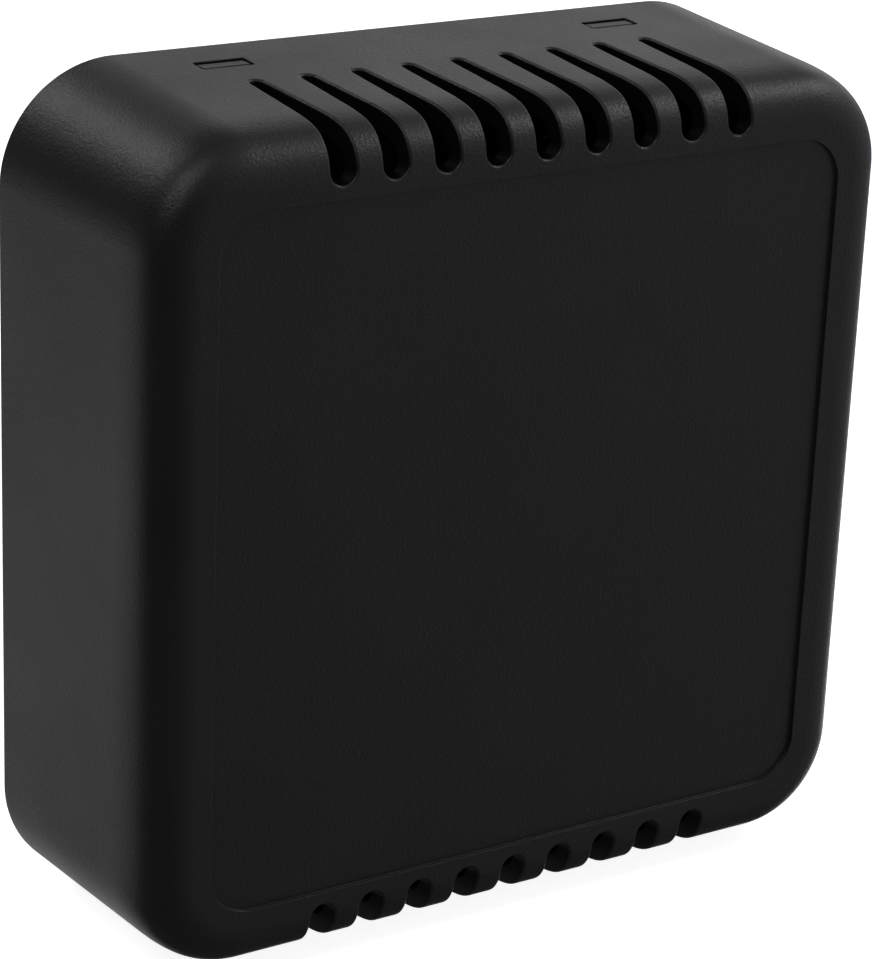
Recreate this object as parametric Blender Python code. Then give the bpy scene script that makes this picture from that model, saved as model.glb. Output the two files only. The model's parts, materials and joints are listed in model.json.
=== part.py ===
"""Mesh Wi-Fi node: a vented, clip-on square cover over a wall plate that carries the router board.

Frame: +Z up, the front looks along -Y, and y = 0 is the plate's outer face, against the wall.
The origin is the centre of that face.
"""

import math

import bmesh
import bpy
from mathutils import Vector

MM = 0.001
GAP = 0.3 * MM  # between pieces that touch on the real object

# Cover
COVER_SIDE = 85.0 * MM
COVER_DEPTH = 28.6 * MM
COVER_DRAFT = math.radians(3.0)
COVER_CORNER_RADIUS = 11.8 * MM
COVER_EDGE_RADIUS = 4.9 * MM
COVER_WALL = 2.0 * MM
PANEL_SIDE = 69.2 * MM
PANEL_RADIUS = 4.6 * MM
PANEL_DEPTH = 0.4 * MM

# Vents, cut from the front through the top and bottom edges
VENT_COUNT = 9
VENT_PITCH = 5.52 * MM
VENT_FRONT_WIDTH = 2.7 * MM
VENT_BACK_WIDTH = 1.3 * MM
VENT_REACH = 17.0 * MM
VENT_DROP = 6.5 * MM

# Snap hooks and the windows they show in
HOOK_X = 22.1 * MM
HOOK_SETBACK = 5.95 * MM
WINDOW_WIDTH = 5.5 * MM
WINDOW_LENGTH = 2.4 * MM
HOOK_SINK = 0.1 * MM
HOOK_FRONT_GAP = 0.4 * MM
HOOK_BACK_GAP = 0.45 * MM
TONGUE_THICKNESS = 1.3 * MM
TONGUE_CLEARANCE = 0.5 * MM
TONGUE_OVERRUN = 1.4 * MM

# Wall plate
PLATE_THICKNESS = 2.0 * MM
PLATE_CLEARANCE = 0.3 * MM
KEYHOLE_SPACING = 44.0 * MM
KEYHOLE_Z = 10.0 * MM
KEYHOLE_HEAD_RADIUS = 4.0 * MM
KEYHOLE_SLOT_WIDTH = 4.4 * MM
KEYHOLE_TRAVEL = 7.0 * MM
PLATE_VENT_COUNT = 7
PLATE_VENT_PITCH = 4.4 * MM
PLATE_VENT_WIDTH = 2.0 * MM
PLATE_VENT_LENGTH = 12.0 * MM
PLATE_VENT_Z = 11.0 * MM
LABEL_WIDTH = 46.0 * MM
LABEL_HEIGHT = 20.0 * MM
LABEL_THICKNESS = 0.18 * MM
LABEL_Z = -23.0 * MM
POST_HEIGHT = 3.0 * MM
POST_RADIUS = 2.4 * MM

# Router board
BOARD_PORT_SETBACK = 6.5 * MM  # from the cover's side, at the back, to the board's port edge
BOARD_X = (-33.0 * MM, COVER_SIDE / 2 - BOARD_PORT_SETBACK)
BOARD_Z = (-36.0 * MM, 18.0 * MM)
BOARD_THICKNESS = 1.6 * MM
BOARD_CORNER_RADIUS = 2.0 * MM
SCREW_INSET = 4.2 * MM
SCREW_SHANK_RADIUS = 0.85 * MM
SCREW_HEAD_RADIUS = 1.9 * MM
SCREW_HEAD_HEIGHT = 1.3 * MM

# Network jack
JACK_LENGTH = 16.0 * MM
JACK_HEIGHT = 12.6 * MM
JACK_WIDTH = 15.2 * MM
JACK_Z = -8.6 * MM
JACK_CAVITY_WIDTH = 11.9 * MM
JACK_CAVITY_HEIGHT = 7.8 * MM
JACK_CAVITY_DEPTH = 13.0 * MM
JACK_FLOOR = 1.6 * MM
JACK_LATCH_WIDTH = 6.2 * MM
JACK_LATCH_HEIGHT = 2.0 * MM
JACK_SKIN = 0.25 * MM
JACK_FRAME = 1.0 * MM  # how far the cover hides the jack's front on each side
JACK_CONTACTS = 8
JACK_CONTACT_PITCH = 1.02 * MM

# Power inlet
INLET_WIDTH = 8.94 * MM
INLET_HEIGHT = 3.26 * MM
INLET_LENGTH = 7.3 * MM
INLET_WALL = 0.3 * MM
INLET_Z = -24.5 * MM
TONGUE_WIDTH = 6.6 * MM
TONGUE_HEIGHT = 0.7 * MM

# Buttons and light on the right side
PAIR_Z = 9.0 * MM
PAIR_CAP_RADIUS = 2.0 * MM
PAIR_PROUD = 0.6 * MM
PAIR_TRAVEL = 0.4 * MM
RESET_Z = 2.8 * MM
RESET_HOLE_RADIUS = 0.9 * MM
SWITCH_WIDTH = 4.4 * MM
SWITCH_LENGTH = 3.6 * MM
SWITCH_HEIGHT = 3.2 * MM
PLUNGER_RADIUS = 0.75 * MM
PLUNGER_LENGTH = 1.3 * MM
LIGHT_Z = 16.5 * MM
LIGHT_LENGTH = 1.6 * MM
LIGHT_WIDTH = 0.9 * MM
LIGHT_HEIGHT = 0.9 * MM
LIGHT_INSET = 2.4 * MM  # from the board's edge to the light's middle
LIGHT_PIPE_RADIUS = 1.0 * MM

# Heat sink
SINK_SIDE = 24.0 * MM
SINK_HEIGHT = 9.0 * MM
SINK_BASE = 1.8 * MM
SINK_FINS = 7
SINK_FIN_THICKNESS = 1.0 * MM
SINK_PIN_INSET = 2.6 * MM
SINK_PIN_RADIUS = 0.9 * MM
SINK_PIN_HEAD_RADIUS = 1.7 * MM
SINK_PIN_SINK = 0.3 * MM
CHIP_SIDE = 14.0 * MM
CHIP_HEIGHT = 1.2 * MM
PAD_THICKNESS = 0.8 * MM
CHIP_X = -3.0 * MM
CHIP_Z = -6.0 * MM

# Antennas and their leads
ANTENNA_THICKNESS = 0.8 * MM
ANTENNA_HEIGHT = 16.0 * MM
ANTENNA_LENGTH = 30.0 * MM
ANTENNA_LEFT_X = -36.0 * MM
ANTENNA_LEFT_Z = -6.0 * MM
ANTENNA_TOP_Z = 21.4 * MM
LEAD_RADIUS = 0.56 * MM
COAX_PLUG_RADIUS = 1.25 * MM
COAX_PLUG_HEIGHT = 1.2 * MM
COAX_SOCKET_SIDE = 2.6 * MM
COAX_SOCKET_HEIGHT = 0.5 * MM

ROUND_STEPS = 6  # facets in a quarter turn of a small round outline
COVER_STEPS = 8  # facets in a quarter turn of the cover's corner
EDGE_STEPS = 6  # facets across the cover's front edge


def clear_scene():
    for obj in list(bpy.data.objects):
        bpy.data.objects.remove(obj, do_unlink=True)


def make_material(name, colour, roughness, metallic=0.0):
    material = bpy.data.materials.new(name)
    material.use_nodes = True
    shader = material.node_tree.nodes["Principled BSDF"]
    shader.inputs["Base Color"].default_value = (*colour, 1.0)
    shader.inputs["Roughness"].default_value = roughness
    shader.inputs["Metallic"].default_value = metallic
    material.diffuse_color = (*colour, 1.0)
    return material


def make_materials():
    return {
        "case": make_material("case_black", (0.022, 0.022, 0.024), 0.55),
        "board": make_material("board_green", (0.02, 0.09, 0.05), 0.45),
        "chip": make_material("chip_black", (0.02, 0.02, 0.022), 0.4),
        "steel": make_material("bright_steel", (0.62, 0.62, 0.6), 0.3, 1.0),
        "tin": make_material("tinned_steel", (0.55, 0.55, 0.53), 0.38, 1.0),
        "aluminium": make_material("aluminium", (0.7, 0.7, 0.71), 0.35, 1.0),
        "gold": make_material("gold_plate", (0.8, 0.58, 0.22), 0.3, 1.0),
        "pad": make_material("thermal_pad", (0.35, 0.4, 0.48), 0.8),
        "plastic": make_material("jack_black", (0.018, 0.018, 0.02), 0.45),
        "ferrite": make_material("ferrite_grey", (0.07, 0.07, 0.075), 0.6),
        "clear": make_material("clear_acrylic", (0.75, 0.77, 0.78), 0.15),
        "white": make_material("led_white", (0.8, 0.8, 0.74), 0.4),
        "lead": make_material("lead_black", (0.03, 0.03, 0.03), 0.4),
        "label": make_material("label_silver", (0.42, 0.42, 0.43), 0.45),
    }


def rounded_rectangle(half_a, half_b, radius, steps):
    """Points of a rounded rectangle about (0, 0), anticlockwise from its right-hand side."""
    points = []
    for index, (sign_a, sign_b) in enumerate(((1, 1), (-1, 1), (-1, -1), (1, -1))):
        for step in range(steps + 1):
            angle = math.radians(90 * (index + step / steps))
            a = sign_a * (half_a - radius) + radius * math.cos(angle)
            b = sign_b * (half_b - radius) + radius * math.sin(angle)
            points.append((a, b))
    return points


def circle(radius, steps):
    angles = [math.tau * step / steps for step in range(steps)]
    return [(radius * math.cos(angle), radius * math.sin(angle)) for angle in angles]


def place(points, axis, level, centre=(0.0, 0.0, 0.0)):
    """Turns flat points into points of a plane across the axis, at that level along it."""
    cx, cy, cz = centre
    if axis == "y":
        return [Vector((cx + a, cy + level, cz + b)) for a, b in points]
    if axis == "x":
        return [Vector((cx + level, cy + a, cz + b)) for a, b in points]
    return [Vector((cx + a, cy + b, cz + level)) for a, b in points]


def add_loft(mesh, rings, ring_closed=False):
    """Joins rings of equal count with quads, and caps the two ends unless the rings form a loop."""
    rows = [[mesh.verts.new(point) for point in ring] for ring in rings]
    pairs = list(zip(rows, rows[1:]))
    if ring_closed:
        pairs.append((rows[-1], rows[0]))
    faces = []
    for low, high in pairs:
        count = len(low)
        for index in range(count):
            after = (index + 1) % count
            faces.append(mesh.faces.new((low[index], low[after], high[after], high[index])))
    if not ring_closed:
        faces.append(mesh.faces.new(rows[0]))
        faces.append(mesh.faces.new(rows[-1]))
    bmesh.ops.recalc_face_normals(mesh, faces=faces)
    return faces


def add_prism(mesh, points, axis, low, high, centre=(0.0, 0.0, 0.0)):
    return add_loft(mesh, [place(points, axis, low, centre), place(points, axis, high, centre)])


def add_box(mesh, low, high):
    x0, y0, z0 = low
    x1, y1, z1 = high
    corners = [(x0, z0), (x1, z0), (x1, z1), (x0, z1)]
    return add_prism(mesh, corners, "y", y0, y1)


def add_cylinder(mesh, centre, axis, radius, low, high, steps=24):
    return add_prism(mesh, circle(radius, steps), axis, low, high, centre)


def make_node(name, mesh, material, origin=(0.0, 0.0, 0.0), parent=None, helper=False):
    """Closes a mesh into a named object whose own origin is the given world point."""
    shift = Vector(origin)
    for vert in mesh.verts:
        vert.co -= shift
    data = bpy.data.meshes.new(name)
    mesh.to_mesh(data)
    mesh.free()
    data.materials.append(material)
    obj = bpy.data.objects.new(name, data)
    bpy.context.scene.collection.objects.link(obj)
    obj.location = shift
    if parent is not None:
        obj.parent = parent
        obj.location = shift - parent.location
    if helper:
        obj.hide_render = True
        obj.display_type = "WIRE"
    return obj


def combine(target, name, mesh, operation, material):
    """Adds a Boolean with a hidden helper object to the target."""
    helper = make_node(name, mesh, material, helper=True)
    modifier = target.modifiers.new(name, "BOOLEAN")
    modifier.operation = operation
    modifier.solver = "EXACT"
    modifier.object = helper


def smooth_round(obj):
    obj.data.shade_smooth()
    obj.data.set_sharp_from_angle(angle=math.radians(35))


def add_bevel(obj, width, segments=1):
    modifier = obj.modifiers.new("edges", "BEVEL")
    modifier.width = width
    modifier.segments = segments
    modifier.limit_method = "ANGLE"
    modifier.angle_limit = math.radians(50)


def cover_half(depth):
    """Half the cover's outer side, this far forward of the back edge."""
    return COVER_SIDE / 2 - depth * math.tan(COVER_DRAFT)


def inner_half(depth):
    return cover_half(depth) - COVER_WALL / math.cos(COVER_DRAFT)


def cover_rings(thickness):
    """Rings of the cover's skin, this far inside its outer face, from the back edge to the front plane."""
    radius = COVER_EDGE_RADIUS
    centre_depth = COVER_DEPTH - radius
    lean = centre_depth * math.sin(COVER_DRAFT)
    centre_inset = (radius + lean) / math.cos(COVER_DRAFT)
    profile = [(thickness / math.cos(COVER_DRAFT), 0.0)]
    for step in range(EDGE_STEPS + 1):
        angle = COVER_DRAFT + (math.pi / 2 - COVER_DRAFT) * step / EDGE_STEPS
        arc = radius - thickness
        profile.append((centre_inset - arc * math.cos(angle), centre_depth + arc * math.sin(angle)))
    rings = []
    for inset, depth in profile:
        half = COVER_SIDE / 2 - inset
        outline = rounded_rectangle(half, half, COVER_CORNER_RADIUS - inset, COVER_STEPS)
        rings.append(place(outline, "y", -depth))
    return rings


def add_vent(mesh, x, side):
    """One vent cutter: a drafted stadium along Y, open past the top (side 1) or bottom (side -1)."""
    low = COVER_SIDE / 2 - VENT_DROP
    high = COVER_SIDE / 2 + 2 * MM
    taper = (VENT_FRONT_WIDTH - VENT_BACK_WIDTH) / VENT_REACH
    back = -COVER_DEPTH + VENT_REACH
    end = VENT_BACK_WIDTH / 2
    stations = [(-COVER_DEPTH - MM, 1.0)]
    for angle in (0, 35, 65, 85):
        turn = math.radians(angle)
        stations.append((back - end + end * math.sin(turn), math.cos(turn)))
    rings = []
    for y, share in stations:
        half = (VENT_FRONT_WIDTH - taper * (y + COVER_DEPTH)) / 2
        width = half * share
        arc = [math.pi + math.pi * step / (2 * ROUND_STEPS) for step in range(2 * ROUND_STEPS + 1)]
        points = [(width * math.cos(turn), low + half + half * math.sin(turn)) for turn in arc]
        points += [(width, high), (-width, high)]
        rings.append([Vector((x + a, y, side * b)) for a, b in points])
    add_loft(mesh, rings)


def vent_positions():
    middle = (VENT_COUNT - 1) / 2
    return [(index - middle) * VENT_PITCH for index in range(VENT_COUNT)]


def hook_places():
    """Name, x and side of each snap hook; side is 1 at the top and -1 at the bottom."""
    rows = (("top", 1), ("bottom", -1))
    columns = (("left", -HOOK_X), ("right", HOOK_X))
    return [(f"{row}_{column}", x, side) for row, side in rows for column, x in columns]


def board_front():
    return -(PLATE_THICKNESS + POST_HEIGHT + GAP + BOARD_THICKNESS)


def side_face(y):
    """X of the cover's outer right face at this y."""
    return cover_half(-y)


def jack_mouth():
    """X where the jack and the inlet end: just inside the cover's wall at the jack's front."""
    return inner_half(-board_front() + JACK_HEIGHT + 2 * GAP + JACK_SKIN) - GAP


def switch_y():
    return board_front() - GAP - SWITCH_HEIGHT / 2


def build_cover(materials):
    mesh = bmesh.new()
    panel = rounded_rectangle(PANEL_SIDE / 2, PANEL_SIDE / 2, PANEL_RADIUS, COVER_STEPS)
    floor = place(panel, "y", -COVER_DEPTH + PANEL_DEPTH)
    rim = place(panel, "y", -COVER_DEPTH)
    outer = cover_rings(0.0)
    add_loft(mesh, [floor, rim, *reversed(outer), *cover_rings(COVER_WALL)])
    cover = make_node("front_cover", mesh, materials["case"])

    vents = bmesh.new()
    for x in vent_positions():
        for side in (1, -1):
            add_vent(vents, x, side)
    combine(cover, "vent_cutter", vents, "DIFFERENCE", materials["case"])

    windows = bmesh.new()
    for _, x, side in hook_places():
        low = inner_half(COVER_DEPTH / 2) - 2 * MM
        heights = sorted((side * low, side * (COVER_SIDE / 2 + MM)))
        start = (x - WINDOW_WIDTH / 2, -HOOK_SETBACK - WINDOW_LENGTH / 2, heights[0])
        stop = (x + WINDOW_WIDTH / 2, -HOOK_SETBACK + WINDOW_LENGTH / 2, heights[1])
        add_box(windows, start, stop)
    combine(cover, "window_cutter", windows, "DIFFERENCE", materials["case"])

    ports = bmesh.new()
    inside = jack_mouth() - MM
    outside = COVER_SIDE / 2 + MM
    wide = JACK_WIDTH / 2 - JACK_FRAME
    near = jack_face(JACK_FRAME)
    far = jack_face(JACK_HEIGHT - JACK_FRAME)
    add_box(ports, (inside, far, JACK_Z - wide), (outside, near, JACK_Z + wide))
    mouth = rounded_rectangle(
        INLET_HEIGHT / 2 + GAP, INLET_WIDTH / 2 + GAP, INLET_HEIGHT / 2 + GAP - 0.1 * MM, ROUND_STEPS
    )
    add_prism(ports, mouth, "x", inside, outside, (0, inlet_y(), INLET_Z))
    for z, radius in (
        (PAIR_Z, PAIR_CAP_RADIUS + GAP),
        (RESET_Z, RESET_HOLE_RADIUS),
        (LIGHT_Z, LIGHT_PIPE_RADIUS + GAP),
    ):
        add_cylinder(ports, (0, switch_y(), z), "x", radius, inside, outside)
    combine(cover, "port_cutter", ports, "DIFFERENCE", materials["case"])
    smooth_round(cover)
    return cover


def keyhole_centres():
    return [(side * KEYHOLE_SPACING / 2, KEYHOLE_Z) for side in (-1, 1)]


def post_centres():
    xs = (BOARD_X[0] + SCREW_INSET, BOARD_X[1] - SCREW_INSET)
    zs = (BOARD_Z[0] + SCREW_INSET, BOARD_Z[1] - SCREW_INSET)
    return [(x, z) for z in zs for x in xs]


def stadium(half_width, half_length, steps):
    """Points of a slot along b, rounded at both ends."""
    return rounded_rectangle(half_width, half_length, half_width * 0.999, steps)


def antenna_spans():
    """For each antenna board: its low and high corner."""
    near = -PLATE_THICKNESS - GAP - MM
    far = near - ANTENNA_HEIGHT
    half = ANTENNA_THICKNESS / 2
    left = (
        (ANTENNA_LEFT_X - half, far, ANTENNA_LEFT_Z - ANTENNA_LENGTH / 2),
        (ANTENNA_LEFT_X + half, near, ANTENNA_LEFT_Z + ANTENNA_LENGTH / 2),
    )
    top = (
        (-ANTENNA_LENGTH / 2, far, ANTENNA_TOP_Z - half),
        (ANTENNA_LENGTH / 2, near, ANTENNA_TOP_Z + half),
    )
    return {"left": left, "top": top}


def add_antenna_clips(mesh, low, high):
    """Two pairs of jaws on the plate that hold an antenna board upright by its long edge."""
    reach = 4.5 * MM
    jaw = 1.2 * MM
    length = 3.0 * MM
    bite = -PLATE_THICKNESS / 2
    along_x = high[0] - low[0] > high[2] - low[2]
    long_axis, thin_axis = (0, 2) if along_x else (2, 0)
    for end in (low[long_axis] + length, high[long_axis] - 2 * length):
        for face, outward in ((low[thin_axis], -1), (high[thin_axis], 1)):
            near = face + outward * GAP
            far = near + outward * jaw
            start = [0.0, -PLATE_THICKNESS - reach, 0.0]
            stop = [0.0, bite, 0.0]
            start[long_axis], stop[long_axis] = end, end + length
            start[thin_axis], stop[thin_axis] = min(near, far), max(near, far)
            add_box(mesh, start, stop)


def build_plate(materials):
    half = inner_half(PLATE_THICKNESS) - PLATE_CLEARANCE
    corner = COVER_CORNER_RADIUS - COVER_WALL - PLATE_CLEARANCE
    mesh = bmesh.new()
    outline = rounded_rectangle(half, half, corner, COVER_STEPS)
    add_prism(mesh, outline, "y", -PLATE_THICKNESS, 0.0)
    plate = make_node("back_plate", mesh, materials["case"])

    posts = bmesh.new()
    for x, z in post_centres():
        top = -PLATE_THICKNESS - POST_HEIGHT
        add_cylinder(posts, (x, 0, z), "y", POST_RADIUS, top, -PLATE_THICKNESS / 2)
    for low, high in antenna_spans().values():
        add_antenna_clips(posts, low, high)
    combine(plate, "plate_posts", posts, "UNION", materials["case"])

    holes = bmesh.new()
    through = (-PLATE_THICKNESS - MM, MM)
    for x, z in keyhole_centres():
        add_cylinder(holes, (x, 0, z), "y", KEYHOLE_HEAD_RADIUS, *through)
    for index in range(PLATE_VENT_COUNT):
        x = (index - (PLATE_VENT_COUNT - 1) / 2) * PLATE_VENT_PITCH
        slot = stadium(PLATE_VENT_WIDTH / 2, PLATE_VENT_LENGTH / 2, 3)
        add_prism(holes, slot, "y", *through, (x, 0, PLATE_VENT_Z))
    for x, z in post_centres():
        tip = -PLATE_THICKNESS - POST_HEIGHT - MM
        add_cylinder(holes, (x, 0, z), "y", SCREW_SHANK_RADIUS + GAP, tip, -PLATE_THICKNESS / 2, 12)
    label = LABEL_WIDTH / 2 + GAP, LABEL_HEIGHT / 2 + GAP
    recess = -LABEL_THICKNESS - GAP
    add_box(holes, (-label[0], recess, LABEL_Z - label[1]), (label[0], MM, LABEL_Z + label[1]))
    combine(plate, "plate_holes", holes, "DIFFERENCE", materials["case"])

    slots = bmesh.new()
    for x, z in keyhole_centres():
        slot = stadium(KEYHOLE_SLOT_WIDTH / 2, (KEYHOLE_TRAVEL + KEYHOLE_SLOT_WIDTH) / 2, 6)
        add_prism(slots, slot, "y", *through, (x, 0, z + KEYHOLE_TRAVEL / 2))
    combine(plate, "keyhole_slots", slots, "DIFFERENCE", materials["case"])

    mesh = bmesh.new()
    low = (-LABEL_WIDTH / 2, -LABEL_THICKNESS, LABEL_Z - LABEL_HEIGHT / 2)
    add_box(mesh, low, (LABEL_WIDTH / 2, 0.0, LABEL_Z + LABEL_HEIGHT / 2))
    make_node("rating_label", mesh, materials["label"], (0, 0, LABEL_Z))


def build_hooks(materials):
    """The four hooks stand on the plate. Each is a tongue with a tab that fills its window."""
    outer = cover_half(HOOK_SETBACK)
    tongue_top = inner_half(HOOK_SETBACK + TONGUE_OVERRUN) - TONGUE_CLEARANCE
    half_x = WINDOW_WIDTH / 2 - GAP
    tab_back = -HOOK_SETBACK + WINDOW_LENGTH / 2 - HOOK_BACK_GAP
    tab_front = -HOOK_SETBACK - WINDOW_LENGTH / 2 + HOOK_FRONT_GAP
    tip = -HOOK_SETBACK - WINDOW_LENGTH / 2 - TONGUE_OVERRUN
    root = -PLATE_THICKNESS - GAP
    under = tongue_top - TONGUE_THICKNESS
    crown = outer - HOOK_SINK
    profile = [
        (root, under),
        (root, tongue_top),
        (tab_back, tongue_top),
        (tab_back, crown),
        (tab_front + 0.15 * MM, crown),
        (tab_front, crown - 0.3 * MM),
        (tab_front, tongue_top),
        (tip, tongue_top - 0.5 * MM),
        (tip, under),
    ]
    for name, x, side in hook_places():
        mesh = bmesh.new()
        rings = [[Vector((x + edge, y, side * z)) for y, z in profile] for edge in (-half_x, half_x)]
        add_loft(mesh, rings)
        make_node(f"snap_hook_{name}", mesh, materials["case"], (x, root, side * under))


def board_piece(name, x, z, width, height, thickness, material, bevel=0.15 * MM, lift=0.0):
    """A bevelled block standing on the board's front face."""
    mesh = bmesh.new()
    base = board_front() - GAP - lift
    low = (x - width / 2, base - thickness, z - height / 2)
    add_box(mesh, low, (x + width / 2, base, z + height / 2))
    obj = make_node(name, mesh, material, (x, base, z))
    if bevel:
        add_bevel(obj, bevel)
    return obj


def build_board(materials):
    x0, x1 = BOARD_X
    z0, z1 = BOARD_Z
    centre = ((x0 + x1) / 2, 0, (z0 + z1) / 2)
    mesh = bmesh.new()
    outline = rounded_rectangle((x1 - x0) / 2, (z1 - z0) / 2, BOARD_CORNER_RADIUS, 4)
    add_prism(mesh, outline, "y", board_front(), board_front() + BOARD_THICKNESS, centre)
    board = make_node("router_board", mesh, materials["board"], (0, board_front(), 0))
    holes = bmesh.new()
    span = (board_front() - MM, board_front() + BOARD_THICKNESS + MM)
    for x, z in post_centres():
        add_cylinder(holes, (x, 0, z), "y", SCREW_SHANK_RADIUS + GAP, *span, 16)
    for x, z in sink_pin_centres():
        add_cylinder(holes, (x, 0, z), "y", SINK_PIN_RADIUS + GAP, *span, 16)
    combine(board, "board_holes", holes, "DIFFERENCE", materials["board"])

    for index, (x, z) in enumerate(post_centres()):
        under = board_front() - GAP
        crown = under - SCREW_HEAD_HEIGHT
        point = -PLATE_THICKNESS - GAP
        stations = [
            (SCREW_HEAD_RADIUS * 0.72, crown),
            (SCREW_HEAD_RADIUS, crown + SCREW_HEAD_HEIGHT * 0.45),
            (SCREW_HEAD_RADIUS, under),
            (SCREW_SHANK_RADIUS, under),
            (SCREW_SHANK_RADIUS, point - MM),
            (SCREW_SHANK_RADIUS * 0.5, point),
        ]
        mesh = bmesh.new()
        add_loft(mesh, [place(circle(r, 16), "y", y, (x, 0, z)) for r, y in stations])
        screw = make_node(f"board_screw_{index + 1}", mesh, materials["steel"], (x, under, z))
        smooth_round(screw)


def sink_pin_centres():
    reach = SINK_SIDE / 2 - SINK_PIN_INSET
    return [(CHIP_X + side * reach, CHIP_Z + side * reach) for side in (-1, 1)]


def build_processor(materials):
    board_piece("router_chip", CHIP_X, CHIP_Z, CHIP_SIDE, CHIP_SIDE, CHIP_HEIGHT, materials["chip"])
    pad_lift = CHIP_HEIGHT + GAP
    board_piece(
        "thermal_pad", CHIP_X, CHIP_Z, CHIP_SIDE, CHIP_SIDE, PAD_THICKNESS, materials["pad"],
        bevel=0.0, lift=pad_lift,
    )
    back = board_front() - GAP - pad_lift - PAD_THICKNESS - GAP
    half = SINK_SIDE / 2
    fin_pitch = (SINK_SIDE - SINK_FIN_THICKNESS) / (SINK_FINS - 1)
    profile = [(CHIP_X - half, back), (CHIP_X + half, back)]
    for index in reversed(range(SINK_FINS)):
        left = CHIP_X - half + index * fin_pitch
        right = left + SINK_FIN_THICKNESS
        tip = back - SINK_HEIGHT
        root = back - SINK_BASE
        profile += [(right, root), (right, tip), (left, tip), (left, root)]
    profile = [point for index, point in enumerate(profile) if index not in (2, len(profile) - 1)]
    mesh = bmesh.new()
    rings = [[Vector((x, y, CHIP_Z + edge)) for x, y in profile] for edge in (-half, half)]
    add_loft(mesh, rings)
    sink = make_node("heat_sink", mesh, materials["aluminium"], (CHIP_X, back, CHIP_Z))
    holes = bmesh.new()
    seat = back - SINK_BASE + SINK_PIN_SINK
    for x, z in sink_pin_centres():
        stations = [
            (SINK_PIN_HEAD_RADIUS + 2 * GAP, back - SINK_HEIGHT - MM),
            (SINK_PIN_HEAD_RADIUS + 2 * GAP, seat),
            (SINK_PIN_RADIUS + GAP, seat),
            (SINK_PIN_RADIUS + GAP, back + MM),
        ]
        add_loft(holes, [place(circle(r, 16), "y", y, (x, 0, z)) for r, y in stations])
    combine(sink, "sink_holes", holes, "DIFFERENCE", materials["aluminium"])

    for index, (x, z) in enumerate(sink_pin_centres()):
        crown = seat - GAP - 1.6 * MM
        stations = [
            (SINK_PIN_HEAD_RADIUS * 0.75, crown),
            (SINK_PIN_HEAD_RADIUS, crown + 0.5 * MM),
            (SINK_PIN_HEAD_RADIUS, seat - GAP),
            (SINK_PIN_RADIUS, seat - GAP),
            (SINK_PIN_RADIUS, board_front() + BOARD_THICKNESS + 0.6 * MM),
            (SINK_PIN_RADIUS * 0.6, board_front() + BOARD_THICKNESS + 1.4 * MM),
        ]
        mesh = bmesh.new()
        add_loft(mesh, [place(circle(r, 16), "y", y, (x, 0, z)) for r, y in stations])
        pin = make_node(f"heat_sink_pin_{index + 1}", mesh, materials["plastic"], (x, crown, z))
        smooth_round(pin)


def build_small_parts(materials):
    blocks = (
        ("memory_chip", -3.0, 11.6, 13.0, 8.0, 1.1, "chip"),
        ("flash_chip", -20.5, -28.0, 8.0, 5.2, 1.0, "chip"),
        ("power_chip", 12.5, -28.0, 5.0, 5.0, 0.9, "chip"),
        ("crystal_can", -20.5, -14.6, 3.4, 2.6, 0.9, "steel"),
        ("line_transformer", 12.6, -8.6, 7.0, 12.0, 4.0, "chip"),
        ("power_inductor", 21.6, -28.4, 6.6, 6.6, 3.0, "ferrite"),
    )
    for name, x, z, width, height, thickness, key in blocks:
        bevel = min(0.4, thickness * 0.2) * MM
        size = (width * MM, height * MM, thickness * MM)
        board_piece(name, x * MM, z * MM, *size, materials[key], bevel=bevel)
    size = (LIGHT_LENGTH, LIGHT_WIDTH, LIGHT_HEIGHT)
    x = BOARD_X[1] - LIGHT_INSET
    board_piece("status_light", x, LIGHT_Z, *size, materials["white"], bevel=LIGHT_HEIGHT * 0.2)

    for index, x in enumerate((-10.0 * MM, -2.0 * MM)):
        base = board_front() - GAP
        stations = [
            (3.1 * MM, base),
            (3.15 * MM, base - 0.9 * MM),
            (2.8 * MM, base - 1.2 * MM),
            (3.15 * MM, base - 1.6 * MM),
            (3.15 * MM, base - 7.2 * MM),
            (2.7 * MM, base - 7.7 * MM),
        ]
        mesh = bmesh.new()
        z = -29.0 * MM
        add_loft(mesh, [place(circle(r, 20), "y", y, (x, 0, z)) for r, y in stations])
        can = make_node(f"capacitor_{index + 1}", mesh, materials["aluminium"], (x, base, z))
        smooth_round(can)


def build_radio(materials):
    """Two radio chips under a drawn tin lid that is open towards the board."""
    centre_x, centre_z = -18.6 * MM, 5.0 * MM
    width, height, depth, skin = 15.0 * MM, 17.0 * MM, 2.6 * MM, 0.25 * MM
    base = board_front() - GAP
    rings = []
    for inset, level in ((0.0, depth), (0.0, 0.0), (skin, 0.0), (skin, depth - skin)):
        outline = rounded_rectangle(width / 2 - inset, height / 2 - inset, MM - inset, 3)
        rings.append(place(outline, "y", base - level, (centre_x, 0, centre_z)))
    mesh = bmesh.new()
    add_loft(mesh, rings)
    make_node("radio_shield", mesh, materials["tin"], (centre_x, base, centre_z))
    board_piece("radio_chip", centre_x, centre_z - 3.2 * MM, 7.0 * MM, 7.0 * MM, MM, materials["chip"])
    board_piece(
        "amplifier_chip", centre_x, centre_z + 4.4 * MM, 4.0 * MM, 4.0 * MM, 0.9 * MM, materials["chip"]
    )


def jack_face(level):
    """Y of the jack at this height above the board."""
    return board_front() - GAP - JACK_SKIN - GAP - level


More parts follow.
